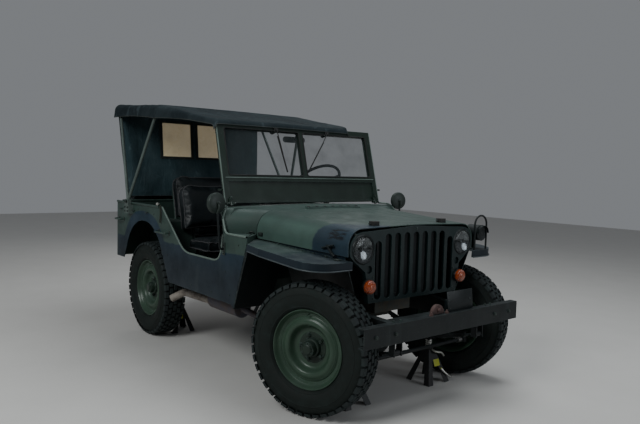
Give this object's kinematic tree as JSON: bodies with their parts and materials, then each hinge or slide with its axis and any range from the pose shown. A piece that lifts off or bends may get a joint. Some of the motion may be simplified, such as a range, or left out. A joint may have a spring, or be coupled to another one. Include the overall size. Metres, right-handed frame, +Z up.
{
  "type": "open 4x4 army car with canvas top",
  "caption": "Small open army 4x4 car with canvas top, folding-screen windshield, slotted grille, rear spare wheel and steered front wheels, on axle stands.",
  "frame": {"origin": "middle of the car's length and width, on the floor", "axes": "+X forward, +Y to the car's left, +Z up"},
  "size_m": [3.22, 1.7338, 1.862],
  "materials": {
    "olive_paint": "satin",
    "grey_paint": "satin",
    "dark_paint": "satin",
    "canvas": "woven, matt",
    "clear_sheet": "yellowed clear sheet",
    "glass": "clear",
    "tyre_rubber": "matt",
    "seat_vinyl": "satin",
    "black_plastic": "gloss",
    "cast_metal": "rough",
    "exhaust_steel": "heat-tinted",
    "orange_lens": "gloss",
    "red_lens": "gloss",
    "lamp_chrome": "polished",
    "block_wood": "worn"
  },
  "bodies": {
    "car": {"axle_stands": "dark_paint", "body_floor": "olive_paint", "body_side_left": "olive_paint", "body_side_right": "olive_paint", "bumpers": "grey_paint", "canvas_roof": "canvas", "chassis_frame": "dark_paint", "cowl": "olive_paint", "curtain_windows": "clear_sheet", "driver_controls": "dark_paint", "exhaust": "exhaust_steel", "fender_left": "grey_paint", "fender_right": "grey_paint", "front_axle": "dark_paint", "grille": "dark_paint", "lamp_housings": "dark_paint", "lamp_lenses": "lamp_chrome", "mirrors": "dark_paint", "powertrain": "cast_metal", "radiator": "cast_metal", "rear_axle": "dark_paint", "rear_curtain": "canvas", "rear_panel": "olive_paint", "seat_backs": "seat_vinyl", "seat_cushions": "seat_vinyl", "seat_frames": "olive_paint", "signal_lamps": "orange_lens", "suspension": "dark_paint", "tail_lamps": "red_lens", "top_bows": "olive_paint", "tyre_spare": "tyre_rubber", "wheel_spare": "olive_paint", "windshield_frame": "olive_paint", "windshield_glass": "glass"},
    "knuckle_left": {"knuckle_left": "dark_paint"},
    "knuckle_right": {"knuckle_right": "dark_paint"},
    "front_left_wheel": {"tyre_front_left": "tyre_rubber", "wheel_front_left": "olive_paint"},
    "front_right_wheel": {"tyre_front_right": "tyre_rubber", "wheel_front_right": "olive_paint"},
    "rear_left_wheel": {"tyre_rear_left": "tyre_rubber", "wheel_rear_left": "olive_paint"},
    "rear_right_wheel": {"tyre_rear_right": "tyre_rubber", "wheel_rear_right": "olive_paint"},
    "tie_rod": {"tie_rod": "dark_paint"},
    "steering_wheel": {"steering_wheel": "black_plastic"},
    "hood": {"hood": "olive_paint", "hood_blocks": "block_wood"}
  },
  "joints": [
    {"name": "steer_left", "type": "hinge", "parent": "car", "child": "knuckle_left", "pos_m": [1.15, 0.556, 0.37], "axis": [0, 0, 1], "range_deg": [-46, 6]},
    {"name": "steer_right", "type": "hinge", "parent": "car", "child": "knuckle_right", "pos_m": [1.15, -0.556, 0.37], "axis": [0, 0, 1], "range_deg": [-46, 6]},
    {"name": "tie_rod_end", "type": "hinge", "parent": "knuckle_left", "child": "tie_rod", "pos_m": [1.25806, 0.59533, 0.257], "axis": [0, 0, 1], "range_deg": [-6, 46]},
    {"name": "steering_wheel_turn", "type": "hinge", "parent": "car", "child": "steering_wheel", "pos_m": [-0.04, 0.335, 1.233], "axis": [-0.7071, 0, 0.7071], "range_deg": [-552, 72]},
    {"name": "spin_front_left", "type": "hinge", "parent": "knuckle_left", "child": "front_left_wheel", "pos_m": [1.12879, 0.61426, 0.37], "axis": [-0.342, 0.9397, 0], "continuous": true},
    {"name": "spin_front_right", "type": "hinge", "parent": "knuckle_right", "child": "front_right_wheel", "pos_m": [1.17121, -0.61426, 0.37], "axis": [-0.342, 0.9397, 0], "continuous": true},
    {"name": "spin_rear_left", "type": "hinge", "parent": "car", "child": "rear_left_wheel", "pos_m": [-0.882, 0.618, 0.37], "axis": [0, 1, 0], "continuous": true},
    {"name": "spin_rear_right", "type": "hinge", "parent": "car", "child": "rear_right_wheel", "pos_m": [-0.882, -0.618, 0.37], "axis": [0, 1, 0], "continuous": true},
    {"name": "hood_hinge", "type": "hinge", "parent": "car", "child": "hood", "pos_m": [0.574, 0, 1.101], "axis": [0, -1, 0], "range_deg": [0, 110]}
  ],
  "couplings": [
    {"joint": "steer_right", "follows": "steer_left", "ratio": 1},
    {"joint": "tie_rod_end", "follows": "steer_left", "ratio": -1},
    {"joint": "steering_wheel_turn", "follows": "steer_left", "ratio": 12}
  ]
}
